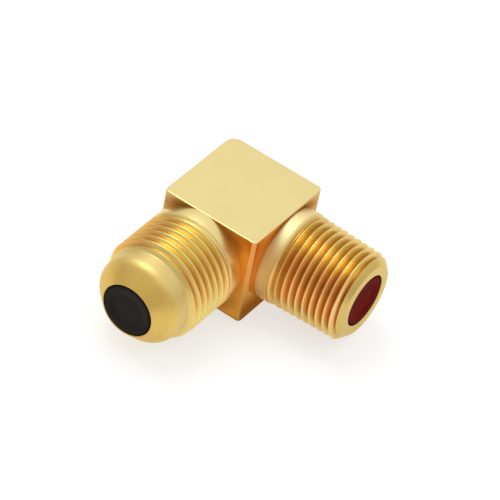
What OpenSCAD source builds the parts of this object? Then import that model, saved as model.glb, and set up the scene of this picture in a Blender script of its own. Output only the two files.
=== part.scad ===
// Elbow flare fitting: a 90 degree brass elbow with a 45 degree flare end and a
// tapered pipe end, and a push-in protective plug in each bore.
// The two bore axes cross above the origin, which lies on the block's base face.
// +X runs along the pipe leg, -Y runs along the flare leg, +Z is up.

/* [Block] */
// Across the flats, top face to base face
block_h = 19.05; // [19.05:0.05:21]
// Flare leg axis to the block's back face
back_x = 8.4; // [8:0.1:10]
// Flare leg axis to the face that the pipe leg leaves
front_x = 11; // [10.5:0.1:12]
// Pipe leg axis to the block's back face
back_y = 8.7; // [8:0.1:10]
// Pipe leg axis to the face that the flare leg leaves
front_y = 11.5; // [11:0.1:12.5]
// Radius of three of the upright edges
edge_r = 0.9; // [0.5:0.1:1.8]
// Radius of the upright edge on the outside of the bend
outer_edge_r = 2.1; // [0.5:0.1:3]

/* [Flare leg] */
// Crossing of the axes to the lip of the flare
flare_len = 31.2; // [30:0.1:33]
// Outside diameter of the straight thread
flare_thread_d = 18.95; // [18.8:0.05:19]
// Pitch of the straight thread, 16 turns an inch
flare_pitch = 1.5875; // [1.4:0.0125:1.6]
// Diameter of the plain shoulder next to the block
flare_shoulder_d = 19; // [19:0.01:19.05]
// Length of the plain shoulder
flare_shoulder = 2.6; // [2:0.1:4]
// Diameter of the plain nose beyond the thread
nose_d = 16.5; // [16:0.1:16.8]
// Length of the straight part of the nose
nose_len = 3.1; // [1.5:0.1:3.6]
// Radius of the rounded ridge between the nose and the seat
nose_round = 2.4; // [1:0.1:3]
// Length of the lead-in chamfer on the thread
flare_lead = 1.1; // [0.8:0.1:1.6]

/* [Pipe leg] */
// Crossing of the axes to the end of the pipe leg
pipe_len = 27.9; // [27:0.1:30]
// Outside diameter of the taper thread at its small end
pipe_thread_d = 16.67; // [16.5:0.01:16.8]
// Pitch of the taper thread, 18 turns an inch
pipe_pitch = 1.4111; // [1.3:0.01:1.45]
// Diameter of the plain neck next to the block
neck_d = 17.8; // [17.7:0.05:18.4]
// Length of the plain neck
neck_len = 2.2; // [1.8:0.1:4]
// Length of the chamfer at the end
pipe_chamfer = 1.5; // [1:0.1:2]
// Outside diameter of the flat end face
pipe_face_d = 13.6; // [13:0.1:14.4]

/* [Bores] */
// Diameter of both bores
bore_d = 10; // [9.8:0.1:10.4]
// Width of the flat lip left round the bore of the flare
lip_w = 0.15; // [0.1:0.05:0.3]

/* [Plugs] */
// Radial gap between a plug's ribs and its bore
plug_gap = 0.05; // [0.02:0.01:0.1]
// Length of a plug
plug_len = 10; // [8:0.5:11]
// Thickness of the closed web behind the face
plug_web = 1.8; // [1:0.1:2.5]
// Depth of the shallow dish in the face
dish_depth = 0.4; // [0.3:0.1:1]
// How far the plug in the pipe leg sits inside its end face
pipe_plug_recess = 0.1; // [0:0.1:1]
// Wall of the hollow skirt
skirt_wall = 0.9; // [0.6:0.1:1.2]
// Number of retaining ribs on the skirt
ribs = 3; // [1:1:4]

/* [Hidden] */
$fn = 96;
axis_z = block_h / 2;
bore_r = bore_d / 2;
lip_r = bore_r + lip_w;
nose_r = nose_d / 2;
// 45 degree flare seat: as long as it is deep
seat_len = nose_r - lip_r;
ridge = flare_len - seat_len;
flare_thread_end = ridge - nose_len;
flare_thread_start = front_y + flare_shoulder;
pipe_thread_start = front_x + neck_len;
// The taper thread grows 1 in 16 on diameter away from its end
taper = 1 / 32;
chamfer_r = pipe_thread_d / 2 + pipe_chamfer * taper;
face_r = pipe_face_d / 2;
// 60 degree threads: flank length for each depth is depth * tan(30)
flare_depth = 0.613 * flare_pitch;
// Rise of the lead-in chamfer from the nose to just above the crest
lead_rise = flare_thread_d / 2 - nose_r + 0.03;
pipe_depth = 0.76 * pipe_pitch;
// Facets to one turn of a thread
thread_fn = 36;
// Depth by which a thread's smooth core lies under the thread's root
sink = 0.12;

// A right-handed screw along +Z from z0 over whole turns, solid to its axis.
// end_r is the crest radius at z_end, and it grows by slope per millimetre below z_end.
// Each step round the helix carries four points: the two ends of the root flat
// and the two ends of the crest flat. A turn's last edge is the next turn's first.
module screw(z0, turns, pitch, depth, crest_w, end_r, z_end, slope = 0) {
    n = thread_fn;
    m = n * turns;
    flank = depth * tan(30);
    root_w = pitch - 2 * flank - crest_w;
    along = [0, root_w, root_w + flank, root_w + flank + crest_w];
    down = [depth, depth, 0, 0];
    function pt(i, k) =
        let (z = z0 + pitch * i / n + along[k], t = 360 * i / n,
             r = end_r + (z_end - z) * slope - down[k])
        [r * cos(t), r * sin(t), z];
    pts = concat(
        [for (i = [0:m]) for (k = [0:3]) pt(i, k)],
        [for (i = [m + 1:m + n]) pt(i, 0)],
        [[0, 0, z0 - 0.2], [0, 0, z0 + pitch * (m + n) / n + 0.2]]);
    function id(i, k) =
        k == 4 ? id(i + n, 0) : i <= m ? 4 * i + k : 4 * (m + 1) + (i - m - 1);
    low = len(pts) - 2;
    high = len(pts) - 1;
    low_loop = concat([for (i = [0:n]) id(i, 0)], [for (k = [3:-1:1]) id(0, k)]);
    high_loop = concat([for (k = [0:3]) id(m, k)], [for (i = [m + n:-1:m + 1]) id(i, 0)]);
    faces = concat(
        [for (i = [0:m - 1]) for (k = [0:3]) [id(i, k), id(i, k + 1), id(i + 1, k)]],
        [for (i = [0:m - 1]) for (k = [0:3]) [id(i + 1, k), id(i, k + 1), id(i + 1, k + 1)]],
        [for (j = [0:len(low_loop) - 1])
            [low, low_loop[j], low_loop[(j + 1) % len(low_loop)]]],
        [for (j = [0:len(high_loop) - 1])
            [high, high_loop[j], high_loop[(j + 1) % len(high_loop)]]]);
    polyhedron(pts, faces, convexity = 10);
}

// Block outline with round upright edges, the outer one at the back left corner
module outline() {
    w = back_x + front_x;
    d = back_y + front_y;
    r = edge_r;
    q = outer_edge_r;
    translate([-back_x, -front_y]) union() {
        translate([0, r]) square([w - r, d - r - q]);
        translate([r, 0]) square([w - 2 * r, r]);
        translate([w - r, r]) square([r, d - 2 * r]);
        translate([q, d - q]) square([w - r - q, q]);
        translate([r, r]) circle(r = r);
        translate([w - r, r]) circle(r = r);
        translate([w - r, d - r]) circle(r = r);
        translate([q, d - q]) circle(r = q);
    }
}

// Flare leg along +Z: plain shoulder and thread, turned down to the lead-in,
// the straight nose, its rounded ridge and the 45 degree seat
module flare_leg() {
    turns = ceil((flare_thread_end - flare_thread_start) / flare_pitch) + 1;
    intersection() {
        union() {
            translate([0, 0, front_y])
                cylinder(r = flare_shoulder_d / 2, h = flare_shoulder);
            screw(flare_thread_start - flare_pitch * 1.1, turns, flare_pitch, flare_depth,
                flare_pitch / 8, flare_thread_d / 2, flare_thread_end);
            translate([0, 0, front_y - 3])
                cylinder(r = nose_r + sink, h = flare_len - front_y + 4);
        }
        rotate_extrude() polygon(concat(
            [[0, front_y - 4], [nose_r + 4, front_y - 4],
             [nose_r + 4, flare_thread_end - 4 * flare_lead / lead_rise],
             [nose_r, flare_thread_end]],
            [for (t = [0:15:45])
                [nose_r - nose_round * (1 - cos(t)),
                 ridge + nose_round * (sin(t) - tan(22.5))]],
            [[lip_r, flare_len], [0, flare_len]]));
    }
}

// Pipe leg along +Z: plain neck and taper thread, chamfered down to the flat end face
module pipe_leg() {
    turns = ceil((pipe_len - pipe_thread_start) / pipe_pitch);
    intersection() {
        union() {
            translate([0, 0, front_x]) cylinder(r = neck_d / 2, h = neck_len);
            screw(pipe_thread_start - pipe_pitch * 1.1, turns, pipe_pitch, pipe_depth,
                (pipe_pitch - 2 * pipe_depth * tan(30)) / 2, pipe_thread_d / 2, pipe_len, taper);
            translate([0, 0, front_x - 3])
                cylinder(r = pipe_thread_d / 2 - pipe_depth - sink, h = pipe_len - front_x + 4);
        }
        rotate_extrude() polygon([
            [0, front_x - 4], [face_r + 6, front_x - 4],
            [face_r + 6, pipe_len - 6 * pipe_chamfer / (chamfer_r - face_r)],
            [face_r, pipe_len], [0, pipe_len]]);
    }
}

// The one-piece brass elbow, with both bores open into each other
module elbow_body() {
    color("goldenrod") difference() {
        union() {
            linear_extrude(block_h) outline();
            translate([0, 0, axis_z]) {
                rotate([90, 0, 0]) flare_leg();
                rotate([0, 90, 0]) pipe_leg();
            }
        }
        translate([0, 0, axis_z]) {
            sphere(r = bore_r);
            rotate([90, 0, 0]) cylinder(r = bore_r, h = flare_len + 1);
            rotate([0, 90, 0]) cylinder(r = bore_r, h = pipe_len + 1);
        }
    }
}

// A push-in plug on +Z, its face at z = 0 and its open skirt below:
// dished face, short land, tapered skirt with retaining ribs
module plug() {
    r = bore_r - plug_gap;
    skirt_r = r - 0.35;
    tip_r = r - 0.7;
    land = dish_depth + plug_web - 0.6;
    pitch = (plug_len - land - 1.6) / ribs;
    function rib(z) = [[skirt_r, z + 0.45], [r, z + 0.15], [r, z - 0.05], [skirt_r, z - 0.55]];
    rotate_extrude() polygon(concat(
        [[0, -dish_depth], [r - 1.5, -dish_depth], [r - 0.8, 0], [r - 0.2, 0],
         [r, -0.2], [r, -land], [skirt_r, -land - 0.35]],
        [for (i = [0:ribs - 1]) each rib(-land - 1.3 - i * pitch)],
        [[skirt_r, -plug_len + 0.8], [tip_r, -plug_len],
         [tip_r - skirt_wall + 0.35, -plug_len],
         [skirt_r - skirt_wall, -dish_depth - plug_web - 0.6],
         [skirt_r - skirt_wall - 0.6, -dish_depth - plug_web],
         [0, -dish_depth - plug_web]]));
}

// Plug in the bore of the flare leg
module flare_end_plug() {
    color("dimgray") translate([0, -flare_len, axis_z]) rotate([90, 0, 0]) plug();
}

// Plug in the bore of the pipe leg
module pipe_end_plug() {
    color("darkred") translate([pipe_len - pipe_plug_recess, 0, axis_z])
        rotate([0, 90, 0]) plug();
}

elbow_body();
flare_end_plug();
pipe_end_plug();
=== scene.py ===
"""Elbow flare fitting: one-piece brass elbow with a push-in plug in each bore."""
import math

import bmesh
import bpy
import numpy as np
from mathutils import Matrix, Vector


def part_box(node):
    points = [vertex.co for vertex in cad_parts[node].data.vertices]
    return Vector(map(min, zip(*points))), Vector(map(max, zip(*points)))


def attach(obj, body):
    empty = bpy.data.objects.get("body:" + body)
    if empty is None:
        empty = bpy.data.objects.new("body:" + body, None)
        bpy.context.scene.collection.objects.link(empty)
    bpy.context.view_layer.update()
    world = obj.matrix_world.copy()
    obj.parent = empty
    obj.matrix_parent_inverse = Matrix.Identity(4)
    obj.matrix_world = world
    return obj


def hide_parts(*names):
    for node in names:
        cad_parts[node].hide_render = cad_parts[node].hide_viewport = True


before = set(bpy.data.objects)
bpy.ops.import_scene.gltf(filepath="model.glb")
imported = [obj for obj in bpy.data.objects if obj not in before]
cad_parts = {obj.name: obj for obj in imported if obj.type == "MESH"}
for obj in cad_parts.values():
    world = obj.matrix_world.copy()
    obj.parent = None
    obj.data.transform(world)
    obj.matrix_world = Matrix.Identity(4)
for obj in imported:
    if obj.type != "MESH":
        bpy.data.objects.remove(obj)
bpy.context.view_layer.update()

MM = 0.001

# ---------------------------------------------------------------- sizes, in mm
low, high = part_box("elbow_body")
AXIS_Z = (low.z + high.z) / 2 / MM           # height of both bore axes
BLOCK_H = (high.z - low.z) / MM
FLARE_LEN = -low.y / MM                      # crossing of the axes to the flare's lip
PIPE_LEN = high.x / MM                       # crossing of the axes to the pipe end
SHOULDER_R = -low.x / MM                     # the plain shoulder is the widest round part
NECK_R = high.y / MM
BACK_X, FRONT_X, BACK_Y, FRONT_Y = 8.4, 11.0, 8.7, 11.5
BORE_R, LIP_R = 5.0, 5.15
NOSE_R, NOSE_LEN, NOSE_ROUND = 8.25, 3.1, 2.4
FLARE_P, FLARE_CREST, FLARE_DEPTH = 1.5875, 9.475, 0.613 * 1.5875
FLARE_START = FRONT_Y + 2.6
FLARE_LEAD = 1.1
RIDGE = FLARE_LEN - (NOSE_R - LIP_R)         # where the straight nose would meet the seat
FLARE_END = RIDGE - NOSE_LEN
PIPE_P, PIPE_CREST, PIPE_DEPTH = 1.4111, 8.335, 0.73 * 1.4111
PIPE_START = FRONT_X + 2.2
EDGE_R, OUTER_EDGE_R = 0.9, 2.1              # upright edges, and the one on the outside of the bend
TOP_RIM, BASE_RIM = 0.22, 1.1               # broken edges round the two flat faces
PLUG_LEN, PLUG_GAP, DISH, PIPE_RECESS = 10.0, 0.05, 0.4, 0.1
PIPE_CHAMFER, FACE_R = 1.5, 6.8
TAPER = 1 / 32


# ---------------------------------------------------------------- mesh helpers
def to_object(name, verts, faces, scale=MM):
    mesh = bpy.data.meshes.new(name)
    mesh.from_pydata([tuple(v) for v in (np.asarray(verts, float) * scale)], [], [tuple(int(i) for i in f) for f in faces])
    mesh.validate()
    obj = bpy.data.objects.new(name, mesh)
    bpy.context.scene.collection.objects.link(obj)
    return obj


def revolve(name, profile, n=256, twist=0.0):
    """A closed solid of revolution round +Z from a profile of (r, z) points that starts and ends on the axis."""
    inner = profile[1:-1]
    t = 2 * np.pi * (np.arange(n) + twist) / n
    rings = np.array([[(r * np.cos(a), r * np.sin(a), z) for a in t] for r, z in inner]).reshape(-1, 3)
    verts = np.vstack([rings, [(0, 0, profile[0][1])], [(0, 0, profile[-1][1])]])
    first, last, m = len(rings), len(rings) + 1, len(inner)
    faces = []
    for j in range(n):
        k = (j + 1) % n
        faces.append((first, k, j))
        for i in range(m - 1):
            faces.append((i * n + j, i * n + k, (i + 1) * n + k, (i + 1) * n + j))
        faces.append((last, (m - 1) * n + j, (m - 1) * n + k))
    return to_object(name, verts, faces, 1.0)


def rounded(points, radii, steps=5):
    """The same open profile with each inner corner replaced by an arc of the given radius."""
    out = [points[0]]
    for i in range(1, len(points) - 1):
        p, a, b, r = np.array(points[i], float), np.array(points[i - 1], float), np.array(points[i + 1], float), radii[i - 1]
        if not r:
            out.append(tuple(p)); continue
        u, v = (a - p) / np.linalg.norm(a - p), (b - p) / np.linalg.norm(b - p)
        half = math.acos(max(-1, min(1, float(u @ v)))) / 2
        cut = min(r / math.tan(half), 0.49 * np.linalg.norm(a - p), 0.49 * np.linalg.norm(b - p))
        r = cut * math.tan(half)
        centre = p + (u + v) / np.linalg.norm(u + v) * (r / math.sin(half))
        s, e = p + u * cut - centre, p + v * cut - centre
        turn = math.acos(max(-1, min(1, float(s @ e) / (r * r))))
        for k in range(steps + 1):
            f = k / steps
            q = (s * math.sin((1 - f) * turn) + e * math.sin(f * turn)) / math.sin(turn)
            out.append(tuple(centre + q))
    out.append(points[-1])
    return out


def screw(name, z0, turns, pitch, depth, crest_w, crest_at, fade, n=168):
    """A right-handed screw round +Z whose edges follow the helix, with rounded roots and crests.
    crest_at(z) is the crest radius and fade(z) the share of the full depth there."""
    flank = depth * math.tan(math.radians(30)) / pitch
    crest = crest_w / pitch
    root = 1 - 2 * flank - crest
    e = min(root, crest, 0.08) * 0.42
    stops = [0.0, e, root / 2, root - e, root, root + e * 1.3, root + flank / 2, root + flank - e * 1.3, root + flank, root + flank + e,
             root + flank + crest - e, root + flank + crest, root + flank + crest + e * 1.3, 1 - flank / 2, 1 - e * 1.3]
    ideal_x = [-flank, 0, root, root + flank, root + flank + crest, 1, 1 + root]
    ideal_y = [0, 1, 1, 0, 0, 1, 1]
    w = np.linspace(-e, e, 9)
    depths = [float(np.mean(np.interp(np.array(s) + w, ideal_x, ideal_y))) for s in stops]
    K, m = len(stops), n * turns
    verts = []
    def point(i, k):
        z = z0 + pitch * (i / n + stops[k]); t = 2 * math.pi * i / n
        r = crest_at(z) - depth * depths[k] * fade(z)
        return (r * math.cos(t), r * math.sin(t), z)
    for i in range(m + 1):
        verts += [point(i, k) for k in range(K)]
    verts += [point(i, 0) for i in range(m + 1, m + n + 1)]
    def vid(i, k):
        if k == K:
            i, k = i + n, 0
        return i * K + k if i <= m else K * (m + 1) + (i - m - 1)
    low_i, high_i = len(verts), len(verts) + 1
    verts += [(0, 0, z0 - 0.2), (0, 0, z0 + pitch * (m + n) / n + 0.2)]
    faces = [(vid(i, k), vid(i + 1, k), vid(i + 1, k + 1), vid(i, k + 1)) for i in range(m) for k in range(K)]
    low_loop = [vid(i, 0) for i in range(n + 1)] + [vid(0, k) for k in range(K - 1, 0, -1)]
    high_loop = [vid(m, k) for k in range(K)] + [vid(i, 0) for i in range(m + n, m, -1)]
    faces += [(low_i, low_loop[(j + 1) % len(low_loop)], low_loop[j]) for j in range(len(low_loop))]
    faces += [(high_i, high_loop[(j + 1) % len(high_loop)], high_loop[j]) for j in range(len(high_loop))]
    return to_object(name, verts, faces, 1.0)


def boolean(target, other, kind):
    mod = target.modifiers.new("b", "BOOLEAN")
    mod.operation, mod.object, mod.solver = kind, other, "MANIFOLD"
    bpy.context.view_layer.update()
    mesh = bpy.data.meshes.new_from_object(target.evaluated_get(bpy.context.evaluated_depsgraph_get()))
    target.modifiers.clear()
    old, target.data = target.data, mesh
    bpy.data.meshes.remove(old)
    bpy.data.objects.remove(other)
    return target


def place(obj, matrix):
    obj.data.transform(matrix)
    return obj


ON_FLARE = Matrix.Translation((0, 0, AXIS_Z)) @ Matrix.Rotation(math.radians(90), 4, "X")
ON_PIPE = Matrix.Translation((0, 0, AXIS_Z)) @ Matrix.Rotation(math.radians(90), 4, "Y")


def smooth_step(a, b, x):
    t = min(1.0, max(0.0, (x - a) / (b - a)))
    return t * t * (3 - 2 * t)


# ---------------------------------------------------------------- elbow body
def make_block(name, rims=True):
    bm = bmesh.new()
    bmesh.ops.create_cube(bm, size=1.0)
    for v in bm.verts:
        v.co = ((v.co.x + 0.5) * (BACK_X + FRONT_X) - BACK_X, (v.co.y + 0.5) * (BACK_Y + FRONT_Y) - FRONT_Y, (v.co.z + 0.5) * BLOCK_H)
    upright = lambda outer: [e for e in bm.edges if abs(e.verts[0].co.z - e.verts[1].co.z) > 1 and len(e.link_faces) == 2 and e.calc_face_angle() > 1
                             and (e.verts[0].co.x < 0 and e.verts[0].co.y > 0) == outer]
    bmesh.ops.bevel(bm, geom=upright(True), offset=OUTER_EDGE_R, segments=18, profile=0.5, affect="EDGES")
    bmesh.ops.bevel(bm, geom=upright(False), offset=EDGE_R, segments=12, profile=0.5, affect="EDGES")
    if rims:
        for side, size in ((1, TOP_RIM), (-1, BASE_RIM)):
            rim = [e for e in bm.edges if abs(e.verts[0].co.z - e.verts[1].co.z) < 1e-4 and any(f.normal.z * side > 0.9 for f in e.link_faces)]
            bmesh.ops.bevel(bm, geom=rim, offset=size, segments=5, profile=0.5, affect="EDGES")
    mesh = bpy.data.meshes.new(name); bm.to_mesh(mesh); bm.free()
    obj = bpy.data.objects.new(name, mesh)
    bpy.context.scene.collection.objects.link(obj)
    return obj


def root_disc(name, radius, face, matrix):
    """Where a leg as wide as the block is high meets it, the leg runs on across the broken edge, inside the block's own outline."""
    disc = place(revolve(name, [(0, face - 1.2), (radius, face - 1.2), (radius, face + 0.4), (0, face + 0.4)], 256, 0.43), matrix)
    return boolean(disc, make_block(name + "_limit", rims=False), "INTERSECT")


def make_flare_leg():
    rise = FLARE_CREST - NOSE_R + 0.03
    turns = math.ceil((FLARE_END - FLARE_START) / FLARE_P) + 2
    leg = screw("flare_leg", FLARE_START - FLARE_P * 1.1, turns, FLARE_P, FLARE_DEPTH, FLARE_P / 8,
                lambda z: FLARE_CREST, lambda z: smooth_step(FLARE_START - 0.5, FLARE_START + 1.5, z))
    core = revolve("core", [(0, FRONT_Y - 3), (NOSE_R + 0.12, FRONT_Y - 3), (NOSE_R + 0.12, FLARE_LEN + 1), (0, FLARE_LEN + 1)], 240, 0.3)
    boolean(leg, core, "UNION")
    # behind the collar a short cone fills the wedge over the block's rounded upright edge
    collar = revolve("collar", rounded([(0, FRONT_Y - 1.3), (BACK_X - 0.1, FRONT_Y - 1.3), (SHOULDER_R, FRONT_Y), (SHOULDER_R, FLARE_START), (NOSE_R, FLARE_START), (0, FLARE_START)], [0, 0.3, 0.12, 0], 4), 256)
    boolean(leg, collar, "UNION")
    hull = revolve("hull", rounded([
        (0, FRONT_Y - 4), (NOSE_R + 4, FRONT_Y - 4), (NOSE_R + 4, FLARE_END - 4 * FLARE_LEAD / rise), (NOSE_R, FLARE_END),
        (NOSE_R, RIDGE), (LIP_R, FLARE_LEN), (0, FLARE_LEN)], [0, 0, 0.25, NOSE_ROUND, 0.08], 12), 288, 0.17)
    return boolean(leg, hull, "INTERSECT")


def make_pipe_leg():
    slope = (PIPE_CREST + PIPE_CHAMFER * TAPER - FACE_R) / PIPE_CHAMFER
    turns = math.ceil((PIPE_LEN - PIPE_START) / PIPE_P) + 1
    leg = screw("pipe_leg", PIPE_START - PIPE_P * 1.1, turns, PIPE_P, PIPE_DEPTH, PIPE_P * 0.10,
                lambda z: PIPE_CREST + (PIPE_LEN - z) * TAPER, lambda z: smooth_step(PIPE_START - 0.6, PIPE_START + 1.9, z))
    core = revolve("core", [(0, FRONT_X - 3), (PIPE_CREST - PIPE_DEPTH - 0.12, FRONT_X - 3), (PIPE_CREST - PIPE_DEPTH - 0.12, PIPE_LEN + 1), (0, PIPE_LEN + 1)], 240, 0.3)
    boolean(leg, core, "UNION")
    neck = revolve("neck", rounded([(0, FRONT_X - 1.0), (BACK_Y - 0.12, FRONT_X - 1.0), (NECK_R, FRONT_X), (NECK_R, PIPE_START), (NECK_R - 1, PIPE_START), (0, PIPE_START)], [0, 0.15, 0.12, 0], 4), 256)
    boolean(leg, neck, "UNION")
    hull = revolve("hull", rounded([(0, FRONT_X - 4), (FACE_R + 6, FRONT_X - 4), (FACE_R + 6, PIPE_LEN - 6 / slope), (FACE_R, PIPE_LEN), (0, PIPE_LEN)], [0, 0, 0.35], 6), 288, 0.17)
    return boolean(leg, hull, "INTERSECT")


def bore_cutter(name, length, twist):
    """A drilled bore round +Z: drill point behind the crossing, straight wall, broken edge at the mouth."""
    tip = BORE_R * math.tan(math.radians(31))
    return revolve(name, [(0, -2.0 - tip), (BORE_R, -2.0), (BORE_R, length - 0.1), (BORE_R + 0.07, length - 0.02), (BORE_R + 0.1, length + 1), (0, length + 1)], 192, twist)


elbow = make_block("elbow")
boolean(elbow, root_disc("flare_root", SHOULDER_R, FRONT_Y, ON_FLARE), "UNION")
boolean(elbow, place(make_flare_leg(), ON_FLARE), "UNION")
boolean(elbow, place(make_pipe_leg(), ON_PIPE), "UNION")
bores = place(bore_cutter("bores", FLARE_LEN, 0.0), ON_FLARE)
boolean(bores, place(bore_cutter("pipe_bore", PIPE_LEN, 0.37), ON_PIPE), "UNION")
boolean(elbow, bores, "DIFFERENCE")
elbow.data.transform(Matrix.Scale(MM, 4))
elbow.name = "elbow_brass"


def finish_mesh(obj, angle, weld=1e-6):
    """Weld, drop slivers, and shade smooth with creases above the angle."""
    bm = bmesh.new(); bm.from_mesh(obj.data)
    bmesh.ops.remove_doubles(bm, verts=bm.verts, dist=weld)
    bmesh.ops.dissolve_degenerate(bm, edges=bm.edges, dist=weld)
    # many-sided faces, and quads with an edge along a diagonal, become triangles here, so that doubled slivers can be cleaned too
    def to_split(f):
        v = f.verts
        return len(v) > 4 or (len(v) == 4 and (bm.edges.get((v[0], v[2])) or bm.edges.get((v[1], v[3]))) is not None)

    for turn in range(6):
        bmesh.ops.triangulate(bm, faces=[f for f in bm.faces if to_split(f)], quad_method="BEAUTY", ngon_method="BEAUTY")
        if turn < 3:
            bmesh.ops.dissolve_degenerate(bm, edges=bm.edges, dist=2 * weld)
        bm.verts.index_update()
        seen = {}
        for f in bm.faces:
            seen.setdefault(frozenset(v.index for v in f.verts), []).append(f)
        bmesh.ops.delete(bm, geom=[f for same in seen.values() if len(same) > 1 for f in same], context="FACES")
        bmesh.ops.delete(bm, geom=[v for v in bm.verts if not v.link_faces], context="VERTS")
    bmesh.ops.recalc_face_normals(bm, faces=bm.faces)
    for f in bm.faces:
        f.smooth = True
    for e in bm.edges:
        e.smooth = len(e.link_faces) == 2 and e.calc_face_angle(0) < math.radians(angle)
    open_edges = sum(len(e.link_faces) != 2 for e in bm.edges)
    bm.to_mesh(obj.data); bm.free()
    print("MESH", obj.name, len(obj.data.vertices), "verts", len(obj.data.polygons), "faces", open_edges, "open edges")


finish_mesh(elbow, 33)


def flatten_normals(obj):
    """Let flat faces keep their own normal out to their edges, so that only the rounding beside them turns."""
    me = obj.data
    loops = np.zeros(len(me.loops) * 3); me.corner_normals.foreach_get("vector", loops)
    loops = loops.reshape(-1, 3)
    vert = np.zeros(len(me.loops), dtype=np.int32); me.loops.foreach_get("vertex_index", vert)
    faces = np.zeros(len(me.polygons) * 3); me.polygons.foreach_get("normal", faces)
    faces = faces.reshape(-1, 3)
    count = np.zeros(len(me.polygons), dtype=np.int32); me.polygons.foreach_get("loop_total", count)
    face_of = np.repeat(np.arange(len(count)), count)  # a mesh keeps its corners face by face
    for axis in range(3):
        for side in (-1.0, 1.0):
            flat = side * faces[:, axis] > 0.99999
            touched = np.zeros(len(me.vertices), dtype=bool)
            touched[vert[flat[face_of]]] = True
            pick = touched[vert] & (side * loops[:, axis] > 0.8)
            loops[pick] = 0.0
            loops[pick, axis] = side
    me.normals_split_custom_set(loops.tolist())


flatten_normals(elbow)


# ---------------------------------------------------------------- plugs
def make_plug(name, matrix, recess):
    r = BORE_R - PLUG_GAP
    skirt, tip, land = r - 0.35, r - 0.7, 1.6
    pitch = (PLUG_LEN - land - 1.6) / 3
    prof = [(0, -DISH), (r - 2.2, -DISH), (r - 0.9, 0), (r - 0.22, 0), (r, -0.22), (r, -land), (skirt, -land - 0.35)]
    rad = [1.6, 0.9, 0.18, 0.18, 0.1, 0.1]
    for i in range(3):
        z = -land - 1.3 - i * pitch
        prof += [(skirt, z + 0.45), (r, z + 0.15), (r, z - 0.05), (skirt, z - 0.55)]
        rad += [0.12, 0.08, 0.08, 0.12]
    prof += [(skirt, -PLUG_LEN + 0.8), (tip, -PLUG_LEN), (tip - 0.55, -PLUG_LEN), (skirt - 0.9, -DISH - 2.4), (skirt - 1.5, -DISH - 1.8), (0, -DISH - 1.8)]
    rad += [0.2, 0.15, 0.15, 0.4, 0.4]
    prof = rounded(prof, rad, 6)
    # the profile runs from the face outwards and round to the inside, so the order is turned for outward faces
    obj = revolve(name, [(p[0], p[1] - recess) for p in prof[::-1]], 192)
    place(obj, matrix)
    obj.data.transform(Matrix.Scale(MM, 4))
    finish_mesh(obj, 40)
    return obj


flare_plug = make_plug("flare_plug", ON_FLARE @ Matrix.Translation((0, 0, FLARE_LEN)), 0.0)
pipe_plug = make_plug("pipe_plug", ON_PIPE @ Matrix.Translation((0, 0, PIPE_LEN)), PIPE_RECESS)


# ---------------------------------------------------------------- attributes and materials
def leg_masks(obj):
    """groove: 0 on a thread's crest to 1 at its root. thread: 1 on a threaded length. crook_shade: 1 where a leg faces
    the other one, which gets painted reflection and shade.
    reflect_side: 1 on the sides of each leg painted with a warmer, darker reflection."""
    n = len(obj.data.vertices)
    co = np.zeros(n * 3); obj.data.vertices.foreach_get("co", co)
    co = co.reshape(-1, 3) / MM
    x, y, z = co[:, 0], co[:, 1], co[:, 2] - AXIS_Z
    rf, rp = np.hypot(x, z), np.hypot(y, z)
    step = lambda a, b, v: (lambda t: t * t * (3 - 2 * t))(np.clip((v - a) / (b - a), 0, 1))
    groove, thread, crook_shade, reflect_side = np.zeros(n), np.zeros(n), np.zeros(n), np.zeros(n)
    on_f = (y < -FRONT_Y - 0.2) & (rf > BORE_R + 0.2)
    on_p = (x > FRONT_X + 0.2) & (rp > BORE_R + 0.2)
    f_len = step(FLARE_START - 0.2, FLARE_START + 0.8, -y) * (1 - step(FLARE_END - 0.8, FLARE_END - 0.1, -y))
    p_len = step(PIPE_START - 0.2, PIPE_START + 0.8, x) * (1 - step(PIPE_LEN - PIPE_CHAMFER * 0.7, PIPE_LEN - PIPE_CHAMFER * 0.3, x))
    groove[on_f] = (f_len * np.clip((FLARE_CREST - rf) / FLARE_DEPTH, 0, 1))[on_f]
    groove[on_p] = (p_len * np.clip((PIPE_CREST + (PIPE_LEN - x) * TAPER - rp) / PIPE_DEPTH, 0, 1))[on_p]
    thread[on_f], thread[on_p] = f_len[on_f], p_len[on_p]
    rf, rp = np.maximum(rf, 1e-6), np.maximum(rp, 1e-6)
    # painted reflection and shade where a leg faces the other one
    crook_shade[on_f] = (step(0.15, 0.95, x / rf * 0.88 - z / rf * 0.48) * (1 - step(13, 18, -y)))[on_f]
    crook_shade[on_p] = (step(0.0, 0.9, -y / rp * 0.88 - z / rp * 0.48) * (1 - step(13, 20, x)))[on_p]
    # painted reflection: the sides of each leg that take a warmer, darker colour
    reflect_side[on_f] = np.maximum(0.95 * step(0.78, 0.97, -x / rf * 0.68 + z / rf * 0.73), 0.55 * step(0.80, 0.98, x / rf * 0.86 + z / rf * 0.51))[on_f]
    reflect_side[on_p] = step(0.70, 0.95, -y / rp * 0.94 + z / rp * 0.34)[on_p]
    for name, values in (("groove", groove), ("thread", thread), ("crook_shade", crook_shade), ("reflect_side", reflect_side)):
        a = obj.data.attributes.new(name, "FLOAT", "POINT"); a.data.foreach_set("value", values.astype(np.float32))


leg_masks(elbow)


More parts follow.
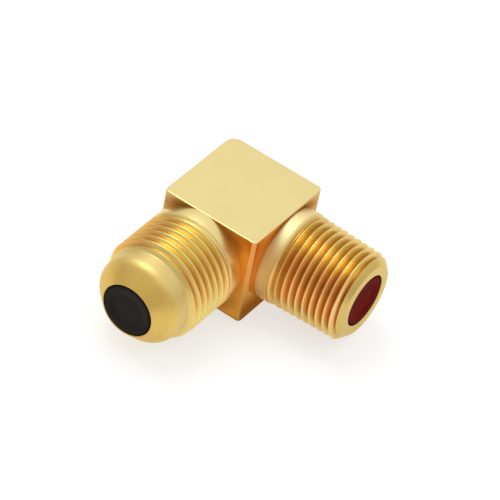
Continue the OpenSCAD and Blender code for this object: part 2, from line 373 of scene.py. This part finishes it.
class Nodes:
    """Short calls for building one node material."""
    def __init__(self, name):
        self.mat = bpy.data.materials.new(name); self.mat.use_nodes = True
        self.t = self.mat.node_tree; self.t.nodes.clear()
        self.out = self.t.nodes.new("ShaderNodeOutputMaterial")
        self.bsdf = self.t.nodes.new("ShaderNodeBsdfPrincipled")
        self.t.links.new(self.bsdf.outputs[0], self.out.inputs[0])

    def link(self, a, b):
        self.t.links.new(a, b)

    def put(self, socket, value):
        if isinstance(value, bpy.types.NodeSocket):
            self.link(value, socket)
        else:
            socket.default_value = value

    def coord(self):
        n = self.t.nodes.new("ShaderNodeTexCoord"); return n.outputs["Object"]

    def split(self, v):
        n = self.t.nodes.new("ShaderNodeSeparateXYZ"); self.link(v, n.inputs[0]); return n.outputs

    def join(self, x, y, z):
        n = self.t.nodes.new("ShaderNodeCombineXYZ")
        for s, v in zip(n.inputs, (x, y, z)):
            self.put(s, v)
        return n.outputs[0]

    def math(self, op, a, b=0.0, c=0.0, clamp=False):
        n = self.t.nodes.new("ShaderNodeMath"); n.operation = op; n.use_clamp = clamp
        for s, v in zip(n.inputs, (a, b, c)):
            self.put(s, v)
        return n.outputs[0]

    def scale(self, v, s):
        n = self.t.nodes.new("ShaderNodeVectorMath"); n.operation = "MULTIPLY"
        self.link(v, n.inputs[0]); n.inputs[1].default_value = s if isinstance(s, (tuple, list)) else (s, s, s)
        return n.outputs[0]

    def noise(self, v, scale, detail=3.0, rough=0.55, distortion=0.0, dim="3D", w=0.0):
        n = self.t.nodes.new("ShaderNodeTexNoise"); n.noise_dimensions = dim
        if dim != "1D":
            self.link(v, n.inputs["Vector"])
        if dim in ("1D", "4D"):
            self.put(n.inputs["W"], w)
        n.inputs["Scale"].default_value = scale; n.inputs["Detail"].default_value = detail
        n.inputs["Roughness"].default_value = rough; n.inputs["Distortion"].default_value = distortion
        return n.outputs[0]

    def ramp(self, v, stops, mode="LINEAR"):
        n = self.t.nodes.new("ShaderNodeValToRGB"); n.color_ramp.interpolation = mode
        self.link(v, n.inputs[0])
        e = n.color_ramp.elements
        while len(e) < len(stops):
            e.new(0.5)
        for q, (p, c) in zip(e, stops):
            q.position = p
            q.color = (c, c, c, 1) if isinstance(c, (int, float)) else (*c, 1)
        return n.outputs[0]

    def mix(self, f, a, b, kind="MIX"):
        n = self.t.nodes.new("ShaderNodeMix"); n.data_type = "RGBA"; n.blend_type = kind; n.clamp_factor = True
        self.put(n.inputs[0], f)
        for s, v in ((n.inputs[6], a), (n.inputs[7], b)):
            self.put(s, (*v, 1) if isinstance(v, tuple) and len(v) == 3 else v)
        return n.outputs[2]

    def mixf(self, f, a, b):
        n = self.t.nodes.new("ShaderNodeMix"); n.data_type = "FLOAT"; n.clamp_factor = True
        for i, v in ((0, f), (2, a), (3, b)):
            self.put(n.inputs[i], v)
        return n.outputs[0]

    def above(self, v, a, b):
        n = self.t.nodes.new("ShaderNodeMapRange"); n.interpolation_type = "SMOOTHSTEP"; n.clamp = True
        for i, q in enumerate((v, a, b, 0.0, 1.0)):
            self.put(n.inputs[i], q)
        return n.outputs[0]

    def attribute(self, name):
        n = self.t.nodes.new("ShaderNodeAttribute"); n.attribute_name = name; return n.outputs["Fac"]

    def bump(self, height, strength, distance, normal=None):
        n = self.t.nodes.new("ShaderNodeBump"); n.inputs["Strength"].default_value = strength
        n.inputs["Distance"].default_value = distance; self.link(height, n.inputs["Height"])
        if normal is not None:
            self.link(normal, n.inputs["Normal"])
        return n.outputs[0]

    def geometry(self, name):
        n = self.t.nodes.new("ShaderNodeNewGeometry"); return n.outputs[name]


PALE = (0.86, 0.70, 0.30)        # bright machined face
GOLD = (0.71, 0.49, 0.13)        # turned surface
AMBER = (0.83, 0.55, 0.16)       # pitting and thread flanks
# thread flanks and roots, on the plain side and on the side painted with a warmer, darker reflection; the roots are
# painted darker as shade
THREADS = {"flare": ((0.89, 0.73, 0.27), (0.71, 0.48, 0.11), (0.80, 0.45, 0.13), (0.48, 0.20, 0.04)),
           "pipe": ((0.82, 0.60, 0.22), (0.52, 0.30, 0.06), (0.92, 0.62, 0.27), (0.56, 0.21, 0.05))}
FOOT_SHADE = (0.21, 0.075, 0.02)       # painted shadow in the corner at the foot of each leg


def brass(name, region):
    """region is block, flare or pipe: each is cut and worn in its own way."""
    m = Nodes(name)
    p = m.coord()
    x, y, z = m.split(p)
    zc = m.math("SUBTRACT", z, AXIS_Z * MM)
    cloud = m.noise(p, 130, 4, 0.6)
    patchy = m.noise(p, 300, 4, 0.62)
    fine = m.noise(p, 2600, 3, 0.6)
    pits = m.ramp(m.noise(p, 900, 2, 0.5), [(0.70, 0.0), (0.78, 1.0)])
    edge_tint = (1.0, 1.0, 1.0, 1.0)
    if region == "block":
        # flat faces: short milling strokes; side faces: the drawn skin, warmer and rougher
        flat = m.above(m.math("ABSOLUTE", zc), (AXIS_Z - 0.30) * MM, (AXIS_Z - 0.05) * MM)
        front = m.math("MAXIMUM", m.above(m.math("MULTIPLY", y, -1.0), (FRONT_Y - 0.9) * MM, (FRONT_Y - 0.1) * MM), m.above(x, (FRONT_X - 0.9) * MM, (FRONT_X - 0.1) * MM))
        stroke = m.noise(m.scale(p, (1500.0, 240.0, 1500.0)), 1.0, 4, 0.65)
        drawn = m.noise(m.scale(p, (520.0, 520.0, 60.0)), 1.0, 4, 0.6)
        face = m.mix(m.ramp(cloud, [(0.3, 0.0), (0.7, 1.0)]), (0.775, 0.635, 0.28), (0.80, 0.665, 0.305))
        side = m.mix(m.ramp(patchy, [(0.3, 0.0), (0.72, 1.0)]), (0.75, 0.51, 0.155), (0.79, 0.58, 0.21))
        # painted reflection and shade on the front faces, which face the legs: a deep orange-brown, darker towards the
        # bottom
        crook_shade = m.mix(m.ramp(patchy, [(0.32, 0.0), (0.66, 1.0)]), (0.80, 0.27, 0.045), (0.90, 0.37, 0.08))
        crook_shade = m.mix(m.above(zc, 3.0 * MM, -7.0 * MM), crook_shade, (0.62, 0.27, 0.035))
        streak = m.noise(m.scale(p, (900.0, 900.0, 90.0)), 1.0, 3, 0.6)
        crook_shade = m.mix(m.math("MULTIPLY", m.ramp(streak, [(0.45, 0.0), (0.7, 1.0)]), 0.30), crook_shade, (0.52, 0.24, 0.05))
        # painted shadow at the foot of each leg, within about 2 mm of the leg's own surface
        foot_f = m.math("SUBTRACT", m.math("SQRT", m.math("ADD", m.math("MULTIPLY", x, x), m.math("MULTIPLY", zc, zc))), SHOULDER_R * MM)
        foot_p = m.math("SUBTRACT", m.math("SQRT", m.math("ADD", m.math("MULTIPLY", y, y), m.math("MULTIPLY", zc, zc))), NECK_R * MM)
        on_y = m.above(m.math("MULTIPLY", y, -1.0), (FRONT_Y - 0.3) * MM, (FRONT_Y - 0.1) * MM)
        foot = m.mixf(on_y, foot_p, foot_f)
        # most of the painted shadow sits right under the top edge and down by the base
        ends = m.math("MAXIMUM", m.above(zc, 5.5 * MM, 8.2 * MM), m.math("MULTIPLY", m.above(zc, -2.0 * MM, -7.0 * MM), 0.8))
        foot_shade = m.math("MULTIPLY", m.above(foot, m.mixf(ends, 2.0 * MM, 2.7 * MM), 0.3 * MM), m.math("MULTIPLY", m.ramp(patchy, [(0.25, 0.55), (0.6, 1.0)]), m.mixf(ends, 0.18, 0.95)))
        # the +X face is also painted darker towards the bottom, and a painted shade line runs along the base
        low_x = m.math("MULTIPLY", m.above(zc, -2.0 * MM, -7.0 * MM), m.math("SUBTRACT", 1.0, on_y))
        foot_shade = m.math("MAXIMUM", foot_shade, m.math("MULTIPLY", low_x, 0.95))
        foot_shade = m.math("MAXIMUM", foot_shade, m.math("MULTIPLY", m.above(zc, -8.2 * MM, -9.0 * MM), 0.7))
        # the far ends of the front faces take a paler tan in the painted reflection
        far = m.mixf(on_y, m.above(y, 0.0 * MM, 4.5 * MM), m.above(x, -1.0 * MM, -5.5 * MM))
        crook_shade = m.mix(m.math("MULTIPLY", far, 0.85), crook_shade, (0.60, 0.40, 0.15))
        # painted shade over the highlight of the upright edge between the two front faces
        corner = m.math("MULTIPLY", m.above(m.math("MULTIPLY", y, -1.0), (FRONT_Y - 0.9) * MM, (FRONT_Y - 0.1) * MM), m.above(x, (FRONT_X - 0.9) * MM, (FRONT_X - 0.1) * MM))
        crook_shade = m.mix(m.math("MULTIPLY", corner, 0.65), crook_shade, (0.52, 0.27, 0.085))
        crook_shade = m.mix(m.math("MULTIPLY", foot_shade, 0.85), crook_shade, FOOT_SHADE)
        colour = m.mix(front, side, crook_shade)
        # the specular tint is darkened under the painted shadow too
        edge_tint = m.mix(front, (1.0, 0.94, 0.80), m.mix(foot_shade, (1.0, 0.82, 0.60), (0.72, 0.50, 0.40)))
        edge_tint = m.mix(flat, edge_tint, (1.0, 1.0, 1.0))
        colour = m.mix(flat, colour, face)
        rough = m.math("ADD", m.math("MULTIPLY", m.mixf(flat, drawn, stroke), 0.18), m.mixf(flat, m.mixf(front, 0.24, 0.15), 0.22))
        height = m.mixf(flat, m.math("ADD", m.math("MULTIPLY", drawn, 0.9), m.math("MULTIPLY", patchy, 0.8)), m.math("MULTIPLY", stroke, 0.6))
        normal = m.bump(height, 0.30, 0.00002)
    else:
        groove = m.attribute("groove")
        crook_shade = m.attribute("crook_shade")
        axial, u, v = (y, x, zc) if region == "flare" else (x, y, zc)
        turn = m.math("DIVIDE", m.math("ARCTAN2", v, u), 2 * math.pi)
        w = m.math("ADD", m.math("DIVIDE", axial, 0.00011), turn)
        wave = m.math("SINE", m.math("MULTIPLY", w, 2 * math.pi))
        bands = m.noise(p, 1.0, 3, 0.7, dim="1D", w=m.math("MULTIPLY", axial, 3800.0))
        chatter = m.noise(m.join(m.math("MULTIPLY", axial, 2600.0), m.math("MULTIPLY", turn, 60.0), 0.0), 1.0, 3, 0.6)
        rough = m.math("ADD", m.math("MULTIPLY", bands, 0.12), m.math("MULTIPLY", chatter, 0.10))
        rough = m.math("ADD", rough, m.math("ADD", 0.19, m.math("MULTIPLY", groove, 0.08)))
        if region == "flare":
            # the seat is lapped duller than the rest
            nose = m.above(m.math("MULTIPLY", y, -1.0), (RIDGE - 2.5) * MM, RIDGE * MM)
            band = m.math("MULTIPLY", m.above(m.math("MULTIPLY", y, -1.0), (FLARE_END - 0.5) * MM, FLARE_END * MM),
                          m.above(m.math("MULTIPLY", y, -1.0), (RIDGE + 0.3) * MM, (RIDGE - 1.1) * MM))
            rough = m.math("ADD", rough, m.math("ADD", m.math("MULTIPLY", nose, 0.12), m.math("MULTIPLY", band, 0.10)))
        height = m.math("ADD", m.math("MULTIPLY", wave, 0.25), m.math("ADD", bands, m.math("MULTIPLY", chatter, 0.5)))
        normal = m.bump(height, 0.32, 0.00001)
        # painted reflection: one side of each leg takes a warmer, darker colour and specular tint
        reflect_side = m.attribute("reflect_side")
        edge_tint = m.mix(m.math("MULTIPLY", reflect_side, m.attribute("thread")), (1.0, 0.94, 0.80), (0.96, 0.72, 0.50))
        colour = m.mix(m.ramp(cloud, [(0.3, 0.0), (0.7, 1.0)]), GOLD, (0.79, 0.59, 0.20))
        if region == "flare":
            colour = m.mix(m.math("MULTIPLY", band, m.ramp(chatter, [(0.3, 0.55), (0.6, 1.0)])), colour, (0.73, 0.58, 0.235))
            colour = m.mix(m.above(m.math("MULTIPLY", y, -1.0), (RIDGE + 0.2) * MM, (RIDGE + 1.4) * MM), colour,
                           m.mix(m.ramp(cloud, [(0.3, 0.0), (0.7, 1.0)]), (0.69, 0.455, 0.11), (0.73, 0.505, 0.145)))
        # flanks and crests of a cut thread, then its roots, painted darker as shade
        thread = m.attribute("thread")
        root_at = (FLARE_START if region == "flare" else PIPE_START) * MM
        out = m.math("MULTIPLY", y, -1.0) if region == "flare" else x
        plain = m.above(out, root_at + 0.0006, root_at - 0.0002)
        colour = m.mix(plain, colour, (0.80, 0.655, 0.28) if region == "flare" else (0.86, 0.73, 0.385))
        rough = m.math("ADD", rough, m.math("MULTIPLY", plain, 0.03 if region == "flare" else 0.24))
        tint = m.math("MULTIPLY", thread, m.math("ADD", m.math("MULTIPLY", patchy, 0.7), 0.45 if region == "pipe" else 0.40), clamp=True)
        flank, root, flank_left, root_left = THREADS[region]
        # painted reflection: that side takes the warmer, darker flank and root colours
        colour = m.mix(tint, colour, m.mix(reflect_side, flank, flank_left))
        deep = m.math("MULTIPLY", m.math("POWER", groove, 1.6), m.math("ADD", m.math("MULTIPLY", patchy, 1.0), 0.50 if region == "pipe" else 0.30), clamp=True)
        colour = m.mix(deep, colour, m.mix(reflect_side, root, root_left))
        # painted reflection: a warmer orange where a leg faces the other one
        colour = m.mix(m.math("MULTIPLY", crook_shade, m.math("ADD", m.math("MULTIPLY", patchy, 0.6), 0.40), clamp=True), colour, (0.92, 0.55, 0.20))
        if region == "pipe":
            # painted shade on the side of the pipe's neck that faces the other leg
            colour = m.mix(m.math("MULTIPLY", m.math("MULTIPLY", crook_shade, plain), 0.75), colour, (0.66, 0.38, 0.085))
            # the first shallow turns next to the neck are darker
            colour = m.mix(m.math("MULTIPLY", m.math("MULTIPLY", m.above(x, (PIPE_START + 4.0) * MM, (PIPE_START + 1.2) * MM), thread), 0.5), colour, (0.56, 0.35, 0.075))
            colour = m.mix(m.above(x, (PIPE_LEN - 1.1) * MM, (PIPE_LEN - 0.5) * MM), colour, (0.66, 0.475, 0.145))
    colour = m.mix(m.math("MULTIPLY", pits, 0.22), colour, AMBER)
    m.link(colour, m.bsdf.inputs["Base Color"])
    m.put(m.bsdf.inputs["Specular Tint"], edge_tint)
    m.bsdf.inputs["Metallic"].default_value = 1.0
    m.link(m.math("ADD", rough, m.math("MULTIPLY", pits, 0.1), clamp=True), m.bsdf.inputs["Roughness"])
    m.link(m.bump(fine, 0.12, 0.00001, normal), m.bsdf.inputs["Normal"])
    return m.mat


def plastic(name, deep, light, sheen, axis):
    """Moulded polyethylene: satin skin, faint flow marks round the gate, painted shade round the rim."""
    m = Nodes(name)
    p = m.coord()
    x, y, z = m.split(p)
    u, v = (m.math("SUBTRACT", x, 0.0), m.math("SUBTRACT", z, AXIS_Z * MM)) if axis == "y" else (m.math("SUBTRACT", y, 0.0), m.math("SUBTRACT", z, AXIS_Z * MM))
    radial = m.math("SQRT", m.math("ADD", m.math("MULTIPLY", u, u), m.math("MULTIPLY", v, v)))
    cloud = m.noise(p, 220, 4, 0.6)
    flow = m.noise(m.join(m.math("MULTIPLY", radial, 900.0), m.math("MULTIPLY", m.math("ARCTAN2", v, u), 1.2), 0.0), 1.0, 3, 0.6)
    grain = m.noise(p, 3000, 3, 0.6)
    mixf = m.math("ADD", m.math("MULTIPLY", cloud, 0.6), m.math("MULTIPLY", flow, 0.4))
    colour = m.mix(m.ramp(mixf, [(0.35, 0.0), (0.7, 1.0)]), deep, light)
    # painted shade in the gap round the plug
    colour = m.mix(m.math("MULTIPLY", m.above(radial, (BORE_R - 0.75) * MM, (BORE_R - 0.15) * MM), 0.75), colour, tuple(c * 0.22 for c in deep))
    m.link(colour, m.bsdf.inputs["Base Color"])
    m.link(m.math("ADD", m.math("MULTIPLY", mixf, 0.2), 0.42), m.bsdf.inputs["Roughness"])
    m.bsdf.inputs["IOR"].default_value = 1.5
    m.bsdf.inputs["Specular IOR Level"].default_value = sheen
    m.bsdf.inputs["Subsurface Weight"].default_value = 0.0
    height = m.math("ADD", m.math("MULTIPLY", flow, 0.7), m.math("MULTIPLY", grain, 0.3))
    m.link(m.bump(height, 0.3, 0.00002), m.bsdf.inputs["Normal"])
    return m.mat


elbow.data.materials.clear()
for mat in (brass("brass_block", "block"), brass("brass_flare", "flare"), brass("brass_pipe", "pipe")):
    elbow.data.materials.append(mat)
centres = np.zeros(len(elbow.data.polygons) * 3); elbow.data.polygons.foreach_get("center", centres)
centres = centres.reshape(-1, 3) / MM
which = np.zeros(len(centres), np.int32)
which[centres[:, 1] < -FRONT_Y - 1e-3] = 1
which[centres[:, 0] > FRONT_X + 1e-3] = 2
rf = np.hypot(centres[:, 0], centres[:, 2] - AXIS_Z); rp = np.hypot(centres[:, 1], centres[:, 2] - AXIS_Z)
which[(which == 0) & (rf < BORE_R + 0.03) & (centres[:, 1] < 3) & (centres[:, 1] > -FRONT_Y + 0.05)] = 1
which[(which == 0) & (rp < BORE_R + 0.03) & (centres[:, 0] > -3) & (centres[:, 0] < FRONT_X - 0.05)] = 2
elbow.data.polygons.foreach_set("material_index", which)
elbow.data.update()

flare_plug.data.materials.append(plastic("black_plastic", (0.012, 0.009, 0.007), (0.022, 0.017, 0.013), 0.06, "y"))
pipe_plug.data.materials.append(plastic("red_plastic", (0.10, 0.0045, 0.0035), (0.165, 0.011, 0.008), 0.006, "x"))

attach(elbow, "elbow"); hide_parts("elbow_body")
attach(flare_plug, "flare_plug"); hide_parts("flare_end_plug")
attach(pipe_plug, "pipe_plug"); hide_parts("pipe_end_plug")


# ---------------------------------------------------------------- stage
def floor():
    bm = bmesh.new()
    bmesh.ops.create_grid(bm, x_segments=2, y_segments=2, size=3.0)
    mesh = bpy.data.meshes.new("floor"); bm.to_mesh(mesh); bm.free()
    obj = bpy.data.objects.new("floor", mesh)
    bpy.context.scene.collection.objects.link(obj)
    m = Nodes("floor")
    n = m.noise(m.coord(), 60, 3, 0.5)
    m.link(m.mix(n, (0.40, 0.40, 0.40), (0.43, 0.43, 0.43)), m.bsdf.inputs["Base Color"])
    m.bsdf.inputs["Roughness"].default_value = 0.9
    m.bsdf.inputs["Specular IOR Level"].default_value = 0.1
    m.bsdf.inputs["Emission Color"].default_value = (1, 1, 1, 1)
    m.bsdf.inputs["Emission Strength"].default_value = 0.62
    mesh.materials.append(m.mat)
    return obj


floor()


def area(name, loc, target, size, power, colour=(1, 1, 1)):
    data = bpy.data.lights.new(name, "AREA"); data.shape = "RECTANGLE"
    data.size, data.size_y, data.energy, data.color = size[0], size[1], power, colour
    obj = bpy.data.objects.new(name, data)
    obj.location = loc
    obj.rotation_euler = (Vector(target) - Vector(loc)).to_track_quat("-Z", "Y").to_euler()
    bpy.context.scene.collection.objects.link(obj)
    return obj


def studio():
    """A pale studio: bright overhead, dimmer and warmer towards the walls."""
    world = bpy.data.worlds.new("studio"); bpy.context.scene.world = world
    world.use_nodes = True
    t = world.node_tree; t.nodes.clear()
    out = t.nodes.new("ShaderNodeOutputWorld"); bg = t.nodes.new("ShaderNodeBackground")
    co = t.nodes.new("ShaderNodeTexCoord"); dot = t.nodes.new("ShaderNodeVectorMath"); dot.operation = "DOT_PRODUCT"
    centre = Vector((0.0, 0.30, 0.95)).normalized()
    dot.inputs[1].default_value = centre
    t.links.new(co.outputs["Generated"], dot.inputs[0])
    span = t.nodes.new("ShaderNodeMapRange"); span.interpolation_type = "SMOOTHSTEP"
    for i, q in enumerate((0.0, 0.0, 0.85, 0.0, 1.0)):
        span.inputs[i].default_value = q
    t.links.new(dot.outputs["Value"], span.inputs[0])
    mix = t.nodes.new("ShaderNodeMix"); mix.data_type = "RGBA"
    t.links.new(span.outputs[0], mix.inputs[0])
    mix.inputs[6].default_value = (0.60, 0.565, 0.52, 1)
    mix.inputs[7].default_value = (1.0, 1.0, 1.0, 1)
    t.links.new(mix.outputs[2], bg.inputs[0]); bg.inputs[1].default_value = 1.0
    t.links.new(bg.outputs[0], out.inputs[0])


studio()
area("softbox", (-0.20, 0.06, 0.57), (0, 0, 0.01), (0.30, 0.30), 0.95)

cam_data = bpy.data.cameras.new("camera"); cam_data.sensor_width = 36.0; cam_data.lens = 242.44
cam_data.clip_start, cam_data.clip_end = 0.01, 20
camera = bpy.data.objects.new("camera", cam_data)
right = Vector((0.80327765, 0.57460875, 0.15674759))
up = Vector((-0.48778905, 0.48366378, 0.72672635))
back = right.cross(up)
camera.matrix_world = Matrix.Translation((0.20468, -0.38735, 0.388439 + AXIS_Z * MM)) @ Matrix((right, up, back)).transposed().to_4x4()
bpy.context.scene.collection.objects.link(camera)
bpy.context.scene.camera = camera
bpy.context.scene.view_settings.view_transform = "Standard"
